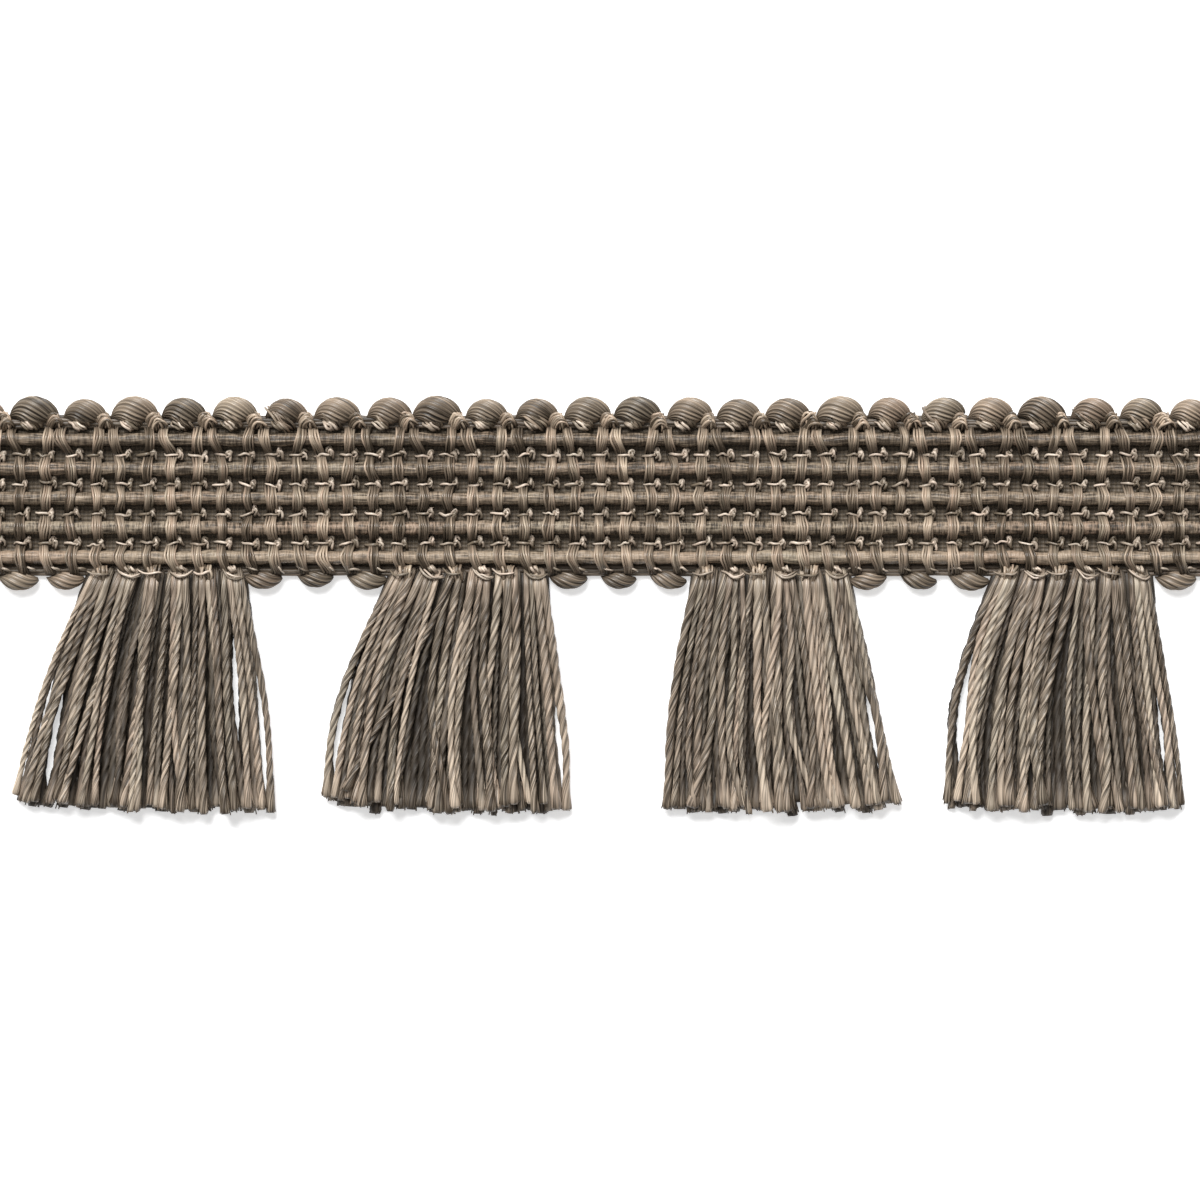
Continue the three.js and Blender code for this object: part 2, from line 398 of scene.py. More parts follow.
def yarn_piece(name, blocks, materials, body="root"):
    """One mesh of many closed strands: walls of quads between neighbouring rings, and one flat face
    over each end. A block is (points, along, tone of each strand, painted light of each point,
    material index). Yarn that would sink into the table is pressed flat on it."""
    places, corners, sizes, slots, maps, tones, depths = [], [], [], [], [], [], []
    first = 0
    for points, along, tone, depth, slot in blocks:
        strands, rings, around, _ = points.shape
        index = first + np.arange(strands * rings * around).reshape(strands, rings, around)
        following = np.roll(index, -1, axis=2)
        walls = np.stack([index[:, :-1], following[:, :-1], following[:, 1:], index[:, 1:]], axis=-1)
        share = np.arange(around) / around
        u = np.broadcast_to(along[:, :, None], index.shape)
        v = np.broadcast_to(share, index.shape)
        v_next = v + 1 / around
        wall_u = np.stack([u[:, :-1], u[:, :-1], u[:, 1:], u[:, 1:]], axis=-1)
        wall_v = np.stack([v[:, :-1], v_next[:, :-1], v_next[:, 1:], v[:, 1:]], axis=-1)
        ends = np.concatenate([index[:, 0, ::-1], index[:, -1]])
        end_u = np.concatenate([u[:, 0, ::-1], u[:, -1]])
        end_v = np.concatenate([v[:, 0, ::-1], v[:, -1]])
        corners += [walls.ravel(), ends.ravel()]
        maps += [np.stack([wall_u.ravel(), wall_v.ravel()], 1), np.stack([end_u.ravel(), end_v.ravel()], 1)]
        sizes += [np.full(walls.size // 4, 4), np.full(len(ends), around)]
        slots.append(np.full(walls.size // 4 + len(ends), slot))
        places.append(points.reshape(-1, 3))
        tones.append(np.repeat(tone, rings * around))
        depths.append(np.broadcast_to(depth, (strands, rings, around)).ravel())
        first += index.size
    corners, sizes, places = np.concatenate(corners), np.concatenate(sizes), np.concatenate(places)
    places[:, 2] = np.maximum(places[:, 2], PRESSED)
    mesh = bpy.data.meshes.new(name)
    mesh.vertices.add(first)
    mesh.vertices.foreach_set("co", (places * MM).astype(np.float32).ravel())
    mesh.loops.add(len(corners))
    mesh.loops.foreach_set("vertex_index", corners.astype(np.int32))
    mesh.polygons.add(len(sizes))
    mesh.polygons.foreach_set("loop_start", (np.cumsum(sizes) - sizes).astype(np.int32))
    mesh.polygons.foreach_set("material_index", np.concatenate(slots).astype(np.int32))
    mesh.update(calc_edges=True)
    mesh.polygons.foreach_set("use_smooth", np.ones(len(sizes), bool))
    uv = mesh.uv_layers.new(name="yarn")
    uv.data.foreach_set("uv", np.concatenate(maps).astype(np.float32).ravel())
    # Painted shade: the second attribute darkens the colour of yarn that lies deep.
    for attribute, values in (("tone", tones), ("depth", depths)):
        layer = mesh.attributes.new(attribute, "FLOAT", "POINT")
        layer.data.foreach_set("value", np.concatenate(values).astype(np.float32))
    for material in materials:
        mesh.materials.append(material)
    piece = bpy.data.objects.new(name, mesh)
    bpy.context.collection.objects.link(piece)
    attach(piece, body)
    print(name, int((sizes - 2).sum()), "triangles")
    return piece


ROUND = {sides: np.ones(sides) for sides in (3, 5, 6)}

# %% [markdown]
# The gimp cords are fat cores wrapped in satin. They run the whole length, and the weft pinches
# them at each pick. The radius is a smooth wave of the pick pitch, so the cord swells between the
# picks as the real one does.

# %% Gimp cords
LOOP_PITCH = 6.35
PICK_PITCH = LOOP_PITCH / 2
CORDS = 5
TOP_LOOPS = 26
FIRST_LOOP_X = -78.95
HALF_LENGTH = ground_high[0]
CREST_SHIFT = 0.17  # the cords' crests stand this far below the middle of their solids


def middle_of(node):
    """The middle of a node's box."""
    low, high = box_mm(node)
    return (low + high) / 2


cord_y = [float(middle_of(f"gimp_cord_{n + 1}")[1]) - CREST_SHIFT for n in range(CORDS)]
CORD_PITCH = cord_y[0] - cord_y[1]
CORD_Z = 2.1
CORD_ACROSS = 0.78
CORD_UP = 0.86
CORD_SWELL = 0.05
CORD_STRANDS = 5
CORD_STRAND_RELIEF = 0.04
WRAPPED_CORD = 3
pick_x = FIRST_LOOP_X - PICK_PITCH / 2 + PICK_PITCH * np.arange(2 * TOP_LOOPS + 1)
pick_x = pick_x[pick_x < HALF_LENGTH - 1]


def gimp_cord(number):
    """A tube along X: radius = 1 + swell * cos wave between the picks + a slow wander, with five low
    strands that turn once in two loops. The fourth cord shows its wraps more than the others."""
    rings = 9 * len(pick_x)
    x = np.linspace(-HALF_LENGTH, HALF_LENGTH, rings)
    wander = through(60, rings) @ random.normal(0, 0.07, 60)
    path = np.stack([x, cord_y[number] + wander, np.full(rings, CORD_Z)], axis=-1)[None]
    wave = -np.cos(2 * np.pi * (x - pick_x[0]) / PICK_PITCH)
    slow = through(160, rings) @ random.normal(0, 0.025, 160)
    radius = (1 + CORD_SWELL * wave + slow)[None]
    around = 16
    angle = 2 * np.pi * np.arange(around) / around
    flat = np.hypot(CORD_ACROSS * np.cos(angle), CORD_UP * np.sin(angle))
    twisted = angle[None] + x[:, None] * 2 * np.pi / (2 * LOOP_PITCH)
    strands = CORD_STRAND_RELIEF * np.cos(CORD_STRANDS * twisted)
    coarse = random.normal(0, 0.022, (5 * len(pick_x), around))
    profile = (flat[None] + strands + through(len(coarse), rings) @ coarse)[None]
    points = carried(path, radius, profile, np.zeros((1, rings)), (0, 0, 1))
    block = (points, x[None] + HALF_LENGTH, np.array([0.2 + 0.15 * number]), 1, 0)
    finish = wrapped_satin if number == WRAPPED_CORD else gimp_satin
    piece = yarn_piece(f"gimp_{number + 1}", [block], [finish])
    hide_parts(f"gimp_cord_{number + 1}")


for number in range(CORDS):
    gimp_cord(number)

# %% [markdown]
# The ground under them is one thin sheet. Its face is a height field: fine warps along X, lifted a
# little where a pick crosses. Its back has the same relief the other way, shallow enough to lie flat.

# %% Woven ground
GROUND_TOP = 0.95
WARP_PITCH = 0.62
WARP_RELIEF = 0.1
PICK_LIFT = 0.12
BACK_RELIEF = 0.05


def woven_ground():
    """Face height = top + relief * |cos| across the warps + lift * cos wave of the picks; back height
    = back relief * (1 - |cos| across the warps), so its ridges touch the table."""
    columns, rows = 160, 66
    x = np.linspace(ground_low[0], ground_high[0], columns)
    y = np.linspace(ground_low[1], ground_high[1], rows)
    gx, gy = np.meshgrid(x, y)
    warps = np.abs(np.cos(np.pi * gy / WARP_PITCH))
    picks = np.cos(2 * np.pi * (gx - pick_x[0]) / PICK_PITCH)
    face = GROUND_TOP + WARP_RELIEF * warps + PICK_LIFT * picks
    back = BACK_RELIEF * (1 - warps)
    grid = np.stack([np.stack([gx, gy, face], -1), np.stack([gx, gy, back], -1)])
    index = np.arange(grid.size // 3).reshape(2, rows, columns)
    quads = []
    up, down = index
    quads.append(np.stack([up[:-1, :-1], up[:-1, 1:], up[1:, 1:], up[1:, :-1]], -1).reshape(-1, 4))
    quads.append(np.stack([down[:-1, :-1], down[1:, :-1], down[1:, 1:], down[:-1, 1:]], -1).reshape(-1, 4))
    rim_up = np.concatenate([up[0, :], up[1:, -1], up[-1, -2::-1], up[-2:0:-1, 0]])
    rim_down = np.concatenate([down[0, :], down[1:, -1], down[-1, -2::-1], down[-2:0:-1, 0]])
    quads.append(np.stack([rim_up, rim_down, np.roll(rim_down, -1), np.roll(rim_up, -1)], -1))
    mesh = bpy.data.meshes.new("ground_sheet")
    mesh.from_pydata((grid.reshape(-1, 3) * MM).tolist(), [], np.concatenate(quads).tolist())
    mesh.polygons.foreach_set("use_smooth", np.ones(len(mesh.polygons), bool))
    mesh.materials.append(ground_satin)
    piece = bpy.data.objects.new("ground_sheet", mesh)
    bpy.context.collection.objects.link(piece)
    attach(piece, "root")
    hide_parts("woven_ground")
    print("ground_sheet", 2 * len(mesh.polygons), "triangles")
    return piece


ground = woven_ground()

# %% [markdown]
# The weft is what shows most: at each pick a flat bundle of fine strands climbs over all five cords
# and dives between them. The height is a power of a cosine, flat and broad over the cords and
# pointed in the furrows, where a stitch holds it down. Two picks share a loop, so at the top cord
# they lean towards each other.

# %% Weft picks
PICK_STRANDS = 5
PICK_TOP = 3.17
PICK_LOW = 1.0
PICK_EDGE = 1.6
PICK_ARCH = 0.95
# Painted shade: up to the height DARK_Z a pick keeps only this share of its colour, and it comes back in full
# over LIT_RISE above that.
FURROW_PAINTED_LIGHT = 0.22  # what is left of a pick's colour up to the height DARK_Z
DARK_Z = 1.6
LIT_RISE = 1.3
STRAND_R = 0.17
edge_top = ground_high[1]
edge_low = ground_low[1]


def weft_picks():
    """x = pick + lean at the top + jitter at each cord; z = low + (top - low) * |cos(pi d / pitch)|
    ** arch with d from the nearest cord; the strands lie side by side, flat over a cord and loose
    in a furrow, where their colour is darkened as painted shade."""
    count, rings = len(pick_x), 46
    y = np.linspace(edge_top + 0.45, edge_low - 0.75, rings)
    middle = cord_y[CORDS // 2]
    wave = np.abs(np.cos(np.pi * (y - middle) / CORD_PITCH))
    low = np.where(y < cord_y[-1], PICK_EDGE, PICK_LOW)
    z = low + (PICK_TOP - low) * wave**PICK_ARCH
    stations = 2 * CORDS + 1
    jitter = random.normal(0, 0.15, (count, stations))
    lean = np.zeros((count, stations))
    right_foot = np.arange(count) % 2 == 1
    lean[:, :2] = np.where(right_foot, 0.3, -1.05)[:, None]
    lean[:, 2] = np.where(right_foot, 0.15, -0.45)
    lean[:, -1] = 0.6
    x = pick_x[:, None] + (jitter + lean) @ through(stations, rings).T
    rank = np.arange(PICK_STRANDS) - (PICK_STRANDS - 1) / 2
    wander = (through(stations, rings) @ random.normal(0, 0.03, (stations, count))).T
    spread = 0.2 + 0.08 * wave**2 + 0.1 * (1 - wave) ** 2 + wander
    twist = 0.12 * np.sin(np.pi * (y - middle) / CORD_PITCH * 2 + random.uniform(0, 6, (count, 1)))
    strand_x = x[:, None] + rank[:, None] * spread[:, None] + twist[:, None] * np.cos(rank)[:, None]
    order = random.permuted(np.tile(rank, (count, 1)), axis=1)
    strand_z = z - 0.035 * (rank**2)[:, None] + 0.03 * order[:, :, None]
    strand_y = np.broadcast_to(y, strand_x.shape)
    path = np.stack([strand_x, strand_y, strand_z], -1).reshape(-1, rings, 3)
    radius = np.full(path.shape[:2], STRAND_R)
    points = carried(path, radius, ROUND[5], np.zeros(path.shape[:2]), (1, 0, 0))
    pick_tone = np.repeat(random.uniform(0.1, 0.9, count), PICK_STRANDS)
    tone = np.clip(pick_tone + random.normal(0, 0.15, len(path)), 0, 1)
    # Painted shade: a pick's colour darkens towards the shade colour where it dips low into a furrow.
    lit = np.clip((path[..., 2, None] - DARK_Z) / LIT_RISE, 0, 1)
    depth = FURROW_PAINTED_LIGHT + (1 - FURROW_PAINTED_LIGHT) * lit
    piece = yarn_piece("weft_picks", [(points, lengths(path), tone, depth, 0)], [weft_satin])


weft_picks()

# %% [markdown]
# In each furrow a bright binder thread crosses over the pick and knots at its right. A stitch is a
# few short bent tubes from a given route, repeated with its own small turn and size. The same
# function makes every stitch of the trim: in the furrows, under and between the edge loops, and
# where the skirts start.

# %% Stitches
STITCH_RINGS = 10
STITCH_UP = (0.13, 0.31, 0.94)  # no route runs this way


def stitches(name, routes, places, material=tie_satin):
    """Copies each route (a radius, and points of x, y, z around its place) to each place, turned by a
    few degrees, scaled and bent a little, as tubes that are thinner where they start and end."""
    places = np.asarray(places, float)
    count = len(places)
    turn = random.normal(0, 0.12, (count, 1))
    size = random.normal(1, 0.08, (count, 1, 1))
    cos, sin = np.cos(turn), np.sin(turn)
    taper = 0.75 + 0.25 * np.sin(np.pi * np.linspace(0, 1, STITCH_RINGS))
    blocks = []
    for radius, route in routes:
        shake = random.normal(0, 0.08, (count, len(route), 3))
        bent = (np.asarray(route) + shake) * size
        path = np.einsum("rs,nsk->nrk", through(len(route), STITCH_RINGS), bent)
        x = path[..., 0] * cos - path[..., 1] * sin
        y = path[..., 0] * sin + path[..., 1] * cos
        path = np.stack([x, y, path[..., 2]], -1) + places[:, None]
        rings = radius * taper * random.uniform(0.85, 1.2, (count, 1))
        points = carried(path, rings, ROUND[5], np.zeros(path.shape[:2]), STITCH_UP)
        blocks.append((points, lengths(path), random.uniform(0, 1, count), 1, 0))
    piece = yarn_piece(name, blocks, [material])


KNOT_STITCH = [
    (0.18, [(-1.0, -0.05, -0.7), (-0.7, -0.02, -0.05), (-0.1, 0.02, 0.22), (0.35, 0.0, 0.2),
            (0.75, 0.05, -0.1)]),
    (0.19, [(0.5, 0.0, -0.2), (0.62, 0.4, 0.1), (0.82, 0.8, 0.05), (1.05, 0.7, 0.0), (1.15, 0.3, -0.2)]),
    (0.2, [(0.6, 0.15, -0.1), (0.85, 0.3, 0.3), (1.1, 0.1, 0.25), (1.15, -0.35, -0.05), (1.1, -0.65, -0.5)]),
    (0.18, [(0.65, 0.65, -0.2), (0.9, 0.5, 0.25), (1.0, 0.2, 0.3), (0.85, -0.1, 0.15), (0.65, -0.3, -0.3)]),
]
STITCH_Z = 1.7
STITCH_SHIFT = 0.12

furrow_y = [(a + b) / 2 - STITCH_SHIFT for a, b in zip(cord_y, cord_y[1:])]
furrow_places = [
    (x + random.normal(0, 0.13), y + random.normal(0, 0.06), STITCH_Z) for y in furrow_y for x in pick_x
]
stitches("furrow_stitches", KNOT_STITCH, furrow_places)

# %% [markdown]
# An edge loop is a hank of some ten fine strands that leaves one pick, swells, and returns in the
# next. It has a pointed left tip and a blunt right one. A smooth lemon would look like a bead, so
# its profile is a ring of round ridges that turn about a third of the way around as they run from
# tip to tip, and slant down to the right.

# %% Looped edges
LOOP_RINGS = 22
VALLEY_DEPTH = 0.24
VALLEY_SHADE = 0.6
TOP_LOOP = {
    "side": 1, "half_length": 2.75, "across": 1.72, "up": 1.6, "ridges": 15, "twist": 2.3, "lean": 0.1,
    "dip": 0.9,
}
LOW_LOOP = {
    "side": -1, "half_length": 2.35, "across": 1.14, "up": 1.1, "ridges": 9, "twist": 2.1, "lean": -0.1,
    "dip": 0.45,
}


def edge_loops(name, node, centres, middle_y, side, half_length, across, up, ridges, twist, lean, dip):
    """Loop path: x runs from tip to tip and y dips towards the heading at the tips. Radius =
    sin(pi t) ** power, where the power falls from 0.95 at the left to 0.5 at the right; profile =
    1 - valley depth * (1 - |cos(ridges * angle / 2)|), with the ridges turned by twist * t. The
    valleys between the ridges and the thin tips are darkened as painted shade."""
    count, around = len(centres), 4 * ridges
    t = np.linspace(0, 1, LOOP_RINGS)
    swell = np.sin(np.pi * np.clip(t, 0.015, 0.985)) ** (0.95 - 0.45 * t)
    size = random.normal(1, 0.05, (count, 1))
    middle = np.asarray(centres)[:, None] + random.normal(0, 0.15, (count, 1))
    x = middle + half_length * (2 * t - 1) * size
    tilt = lean + random.normal(0, 0.2, (count, 1))
    y = middle_y + side * (0.12 - dip * np.abs(2 * t - 1) ** 3) + tilt * (2 * t - 1)
    y = y + random.normal(0, 0.08, (count, 1))
    z = 0.2 + up - 0.35 * (2 * t - 1) ** 2 + np.zeros((count, 1))
    path = np.stack([x, y, z], -1)
    angle = 2 * np.pi * np.arange(around) / around
    turn = twist * (t[None] - 0.5) + random.uniform(-0.4, 0.4, (count, 1))
    facing = angle + turn[..., None]
    oval = np.hypot(across * np.cos(facing), up * np.sin(facing))
    valley = 1 - np.abs(np.cos(ridges * angle / 2))
    points = carried(path, swell[None] * size, (1 - VALLEY_DEPTH * valley) * oval, turn, (0, 0, 1))
    # Painted shade: darker in the valleys between the ridges and towards the thin tips.
    depth = (0.45 + 0.55 * swell[None, :, None]) * (1 - VALLEY_SHADE * valley)
    block = (points, lengths(path), random.uniform(0.2, 0.9, count), depth, 0)
    piece = yarn_piece(name, [block], [loop_satin])
    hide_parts(node)


top_centres = FIRST_LOOP_X + LOOP_PITCH * np.arange(TOP_LOOPS)
top_middle = middle_of("top_loops")[1]
edge_loops("top_loop_yarn", "top_loops", top_centres, top_middle - 0.05, **TOP_LOOP)
SKIRTS = 4
GAP_LOOPS = 3
GAP_SHIFTS = [0.05, -0.4, -0.3, -0.5, 0.2]  # how far the loops of each gap stand right of its middle
bottom_centres = []
low_centres = []
for gap in range(SKIRTS + 1):
    node = f"bottom_loops_{gap + 1}"
    low, high = box_mm(node)
    loops = round((high[0] - low[0]) / LOOP_PITCH)
    middle = middle_of(node)
    centres = middle[0] + LOOP_PITCH * (np.arange(loops) - (loops - 1) / 2)
    bottom_centres.append(centres)
    low_centres.append(centres + GAP_SHIFTS[gap])
    edge_loops(f"bottom_loop_yarn_{gap + 1}", node, low_centres[-1], middle[1] + 0.22, **LOW_LOOP)

# %% [markdown]
# The lower strands of a top loop run down to the right into a foot at the heading. Between two
# loops the weft shows again as a small cap of fine strands, and a stitch holds each loop down.

# %% Feet, caps and edge stitches
def nested(radius, route, step, copies):
    """The same route several times, each moved by one more step."""
    return [(radius, [np.add(point, np.multiply(step, copy)) for point in route]) for copy in range(copies)]


FOOT_ROUTE = [
    (-2.1, 0.25, -0.3), (-1.4, -0.5, 0.65), (-0.7, -1.25, 0.75), (-0.1, -1.85, 0.45), (0.2, -2.3, -0.3),
]
CAP_ROUTE = [
    (-1.0, -0.9, -1.0), (-0.75, -0.2, 0.0), (-0.2, 0.35, 0.35), (0.35, 0.25, 0.3), (0.75, -0.3, -0.3),
]
CAP_SIDE_ROUTE = [
    (0.1, 0.5, -0.5), (0.5, 0.3, 0.2), (0.85, -0.2, 0.3), (1.0, -0.8, 0.0), (1.05, -1.2, -0.7),
]
CAP_FILL_ROUTE = [
    (-0.3, -1.5, -0.6), (-0.22, -1.0, -0.1), (-0.12, -0.5, 0.15), (0.0, 0.0, 0.25), (0.1, 0.4, 0.0),
]
HOLD_ROUTE = [
    (-0.6, 0.4, -0.5), (-0.35, 0.15, 0.2), (0.05, -0.2, 0.3), (0.4, -0.5, 0.1), (0.6, -0.65, -0.5),
]
DASH_ROUTE = [
    (-0.8, 0.1, -0.5), (-0.4, 0.12, 0.1), (0.0, 0.02, 0.25), (0.4, -0.12, 0.15), (0.8, -0.3, -0.4),
]
FOOT = nested(0.21, FOOT_ROUTE, (0.3, 0.17, 0.05), 4)
CAP = nested(0.19, CAP_ROUTE, (0.14, -0.2, 0.05), 6)
CAP += nested(0.16, CAP_SIDE_ROUTE, (-0.12, -0.26, 0.06), 3)
CAP += nested(0.18, CAP_FILL_ROUTE, (0.3, -0.02, 0.0), 3)
HOLD = nested(0.19, HOLD_ROUTE, (0.34, 0.1, 0.02), 3)
DASH = [(0.16, DASH_ROUTE)]
EDGE_Z = 2.3
LOW_EDGE_Z = 2.1
foot_places = [(x, top_middle, 1.8) for x in top_centres]
cap_places = [(x + 2.5, edge_top + 1.25, EDGE_Z) for x in top_centres]
hold_places = [(x - 1.1, edge_top + 0.15, EDGE_Z) for x in top_centres]
low_places = np.concatenate(low_centres)
dash_places = [(x + shift, edge_low - 0.1, LOW_EDGE_Z) for x in low_places for shift in (-1.6, 1.7)]
stitches("top_feet", FOOT, foot_places, loop_satin)
stitches("top_caps", CAP, cap_places, weft_satin)
stitches("top_holds", HOLD, hold_places)
stitches("low_dashes", DASH, dash_places)

# %% [markdown]
# Fine threads run along both edges under the loops and caps and close the heading there. They lie
# deep, and their colour is darkened as painted shade, so they read as dark lines.

# %% Edge threads
EDGE_THREAD_R = 0.31
# Painted shade: the edge threads keep only this share of their colour.
EDGE_THREAD_PAINTED_LIGHT = 0.35


def edge_threads():
    """Wavy tubes along X: y = place + a slow random wave, z the same around its own height."""
    places = [(edge_top + 0.05, 1.4), (edge_top + 0.4, 1.6), (edge_top + 0.75, 1.5), (edge_top + 1.1, 1.1)]
    places += [(edge_low + 0.05, 0.9), (edge_low - 0.35, 1.0), (edge_low - 0.75, 0.8)]
    rings, waves, count = 170, 60, len(places)
    x = np.linspace(-HALF_LENGTH, HALF_LENGTH, rings) + np.zeros((count, 1))
    wander = random.normal(0, 0.06, (2, count, waves)) @ through(waves, rings).T
    y, z = np.array(places).T[:, :, None] + wander
    path = np.stack([x, y, z], -1)
    points = carried(path, np.full(x.shape, EDGE_THREAD_R), ROUND[6], np.zeros(x.shape), (0, 0, 1))
    block = (points, lengths(path), random.uniform(0, 1, count), EDGE_THREAD_PAINTED_LIGHT, 0)
    yarn_piece("edge_threads", [block], [weft_satin])


edge_threads()

# %% [markdown]
# A skirt is six picks that run on past the edge. Its strands start as six gathered bundles three
# strands deep, and then spread. Real strands slide off each other and come to rest side by side, so
# the places are settled: strands that overlap push apart, while each is drawn back to its own place
# and evened out along its length. Then the outermost strands meet their neighbours at the hem, and a
# few slits open.

# %% Where a skirt's strands lie
REPEAT = 2 * GAP_LOOPS * LOOP_PITCH
SKIRT_1_X = float(bottom_centres[0][1]) + REPEAT / 2
PICKS = 6
ROOT_HALF = 9.75
ROOT_Y = edge_low - 0.2
STRAND_LENGTH = 30.4
YARN_R = 0.47
STATIONS = 19
EVENED = 0.2  # how much of a kink is taken out of a strand in each round
# The rows of a skirt, from the face to the back: how high they start and end, how many strands they
# have and how thick, how far each pick's strands are gathered at the root, how far the row reaches
# at the hem, how far its strands stray there and sway on the way, and how much of its colour it keeps under
# painted shade.
ROWS = [
    {"root_z": 2.4, "hem_z": 2.45, "strands": 23, "thick": 0.98, "gathered": 0.74,
     "reach": 1.0, "stray": 0.075, "sway": 1.0, "depth": 1.0},
    {"root_z": 1.6, "hem_z": 1.7, "strands": 20, "thick": 1.0, "gathered": 0.85,
     "reach": 0.96, "stray": 0.06, "sway": 1.0, "depth": 0.38},
    {"root_z": 0.75, "hem_z": 0.75, "strands": 30, "thick": 1.35, "gathered": 1.0,
     "reach": 0.86, "stray": 0.0, "sway": 0.0, "depth": 0.12},
]
# Where the outermost strands end, from the skirt's middle, and how far they bow out halfway down.
# A skirt also parts in a few slits: x and y of the top of each, x and y of its foot, and its width.
FLARES = [
    {"hem_left": -19.9, "hem_right": 13.9, "bow_left": -1.4, "bow_right": 0.5,
     "slits": [(-47.0, -20.5, -47.1, -29.5, 1.5), (-43.9, -23.5, -43.3, -39.5, 0.7),
               (-70.1, -22.5, -71.4, -28.0, 0.6), (-69.3, -25.5, -71.1, -37.5, 0.8)]},
    {"hem_left": -19.0, "hem_right": 12.9, "bow_left": -1.9, "bow_right": 0.3,
     "slits": [(-33.0, -23.0, -34.2, -29.0, 0.5), (-34.2, -28.5, -35.1, -34.5, 0.5),
               (-6.8, -26.5, -5.9, -35.0, 0.6)]},
    {"hem_left": -14.0, "hem_right": 16.5, "bow_left": -1.0, "bow_right": 0.1,
     "slits": [(32.5, -25.0, 33.8, -32.5, 0.6)]},
    {"hem_left": -16.5, "hem_right": 14.4, "bow_left": -2.4, "bow_right": 0.3,
     "slits": [(45.1, -21.5, 43.8, -33.5, 1.2), (69.4, -26.5, 70.1, -34.5, 0.5)]},
]


PUSH = 0.22
PULL_BACK = 0.08
SQUASH = 0.97  # strands that touch may press into each other by the rest
ROOT_GRIP = 0.3
HEM_SQUASH = 0.85


def settled(x, z, thick, held, rounds=60):
    """Pushes strands apart where two middles are nearer than the yarns are wide, pulls each a little
    towards its wanted place, and evens out each along its length. Roots and held strands stay."""
    wanted_x, wanted_z = x.copy(), z.copy()
    width = YARN_R * (thick[:, None] + thick[None])[..., None]
    for _ in range(rounds):
        dx = x[:, None] - x[None]
        dz = z[:, None] - z[None]
        apart = np.sqrt(dx**2 + dz**2) + 1e-6
        push = PUSH * np.clip(SQUASH * width - apart, 0, None) / apart
        push[:, :, :2] *= ROOT_GRIP
        x = x + (push * dx).sum(axis=1)
        z = z + (push * dz).sum(axis=1)
        x[:, 1:-1] += EVENED * (x[:, :-2] + x[:, 2:] - 2 * x[:, 1:-1])
        z[:, 1:-1] += EVENED * (z[:, :-2] + z[:, 2:] - 2 * z[:, 1:-1])
        x = x + PULL_BACK * (wanted_x - x)
        z = z + PULL_BACK * (wanted_z - z)
        x[:, 0], z[:, 0] = wanted_x[:, 0], wanted_z[:, 0]
        x[held], z[held] = wanted_x[held], wanted_z[held]
        z = np.maximum(z, YARN_R)
    return x, z


def closed(x, thick, t, strands=7):
    """Where one of the outermost strands stands apart at the hem, the next one in bends out to it."""
    for side in (-1, 1):
        from_outside = np.argsort(-side * x[:, -1])[:strands]
        for outer, inner in zip(from_outside, from_outside[1:]):
            touching = HEM_SQUASH * YARN_R * (thick[outer] + thick[inner])
            gap = side * (x[outer, -1] - x[inner, -1]) - touching
            x[inner] += side * max(gap, 0) * t**4
    return x


LEAST_OPENING = 0.02


def parted(x, y, thick, slits, rounds=8):
    """Opens slits: each strand keeps to the side of the slit that it is on, and the push is evened
    out along it, so that it bends away in a long curve."""
    for top_x, top, foot_x, foot, width in slits:
        down = np.clip((top - y) / (top - foot), 0, 1)
        slit_x = top_x + (foot_x - top_x) * down
        opening = width / 2 * np.sin(np.pi * down)
        side = np.sign(((x - slit_x) * opening).sum(axis=1, keepdims=True))
        clear = slit_x + side * (opening + YARN_R * thick[:, None])
        for _ in range(rounds):
            x = np.where((opening > LEAST_OPENING) & (side * (clear - x) > 0), clear, x)
            x[:, 1:-1] += EVENED * (x[:, :-2] + x[:, 2:] - 2 * x[:, 1:-1])
    return x


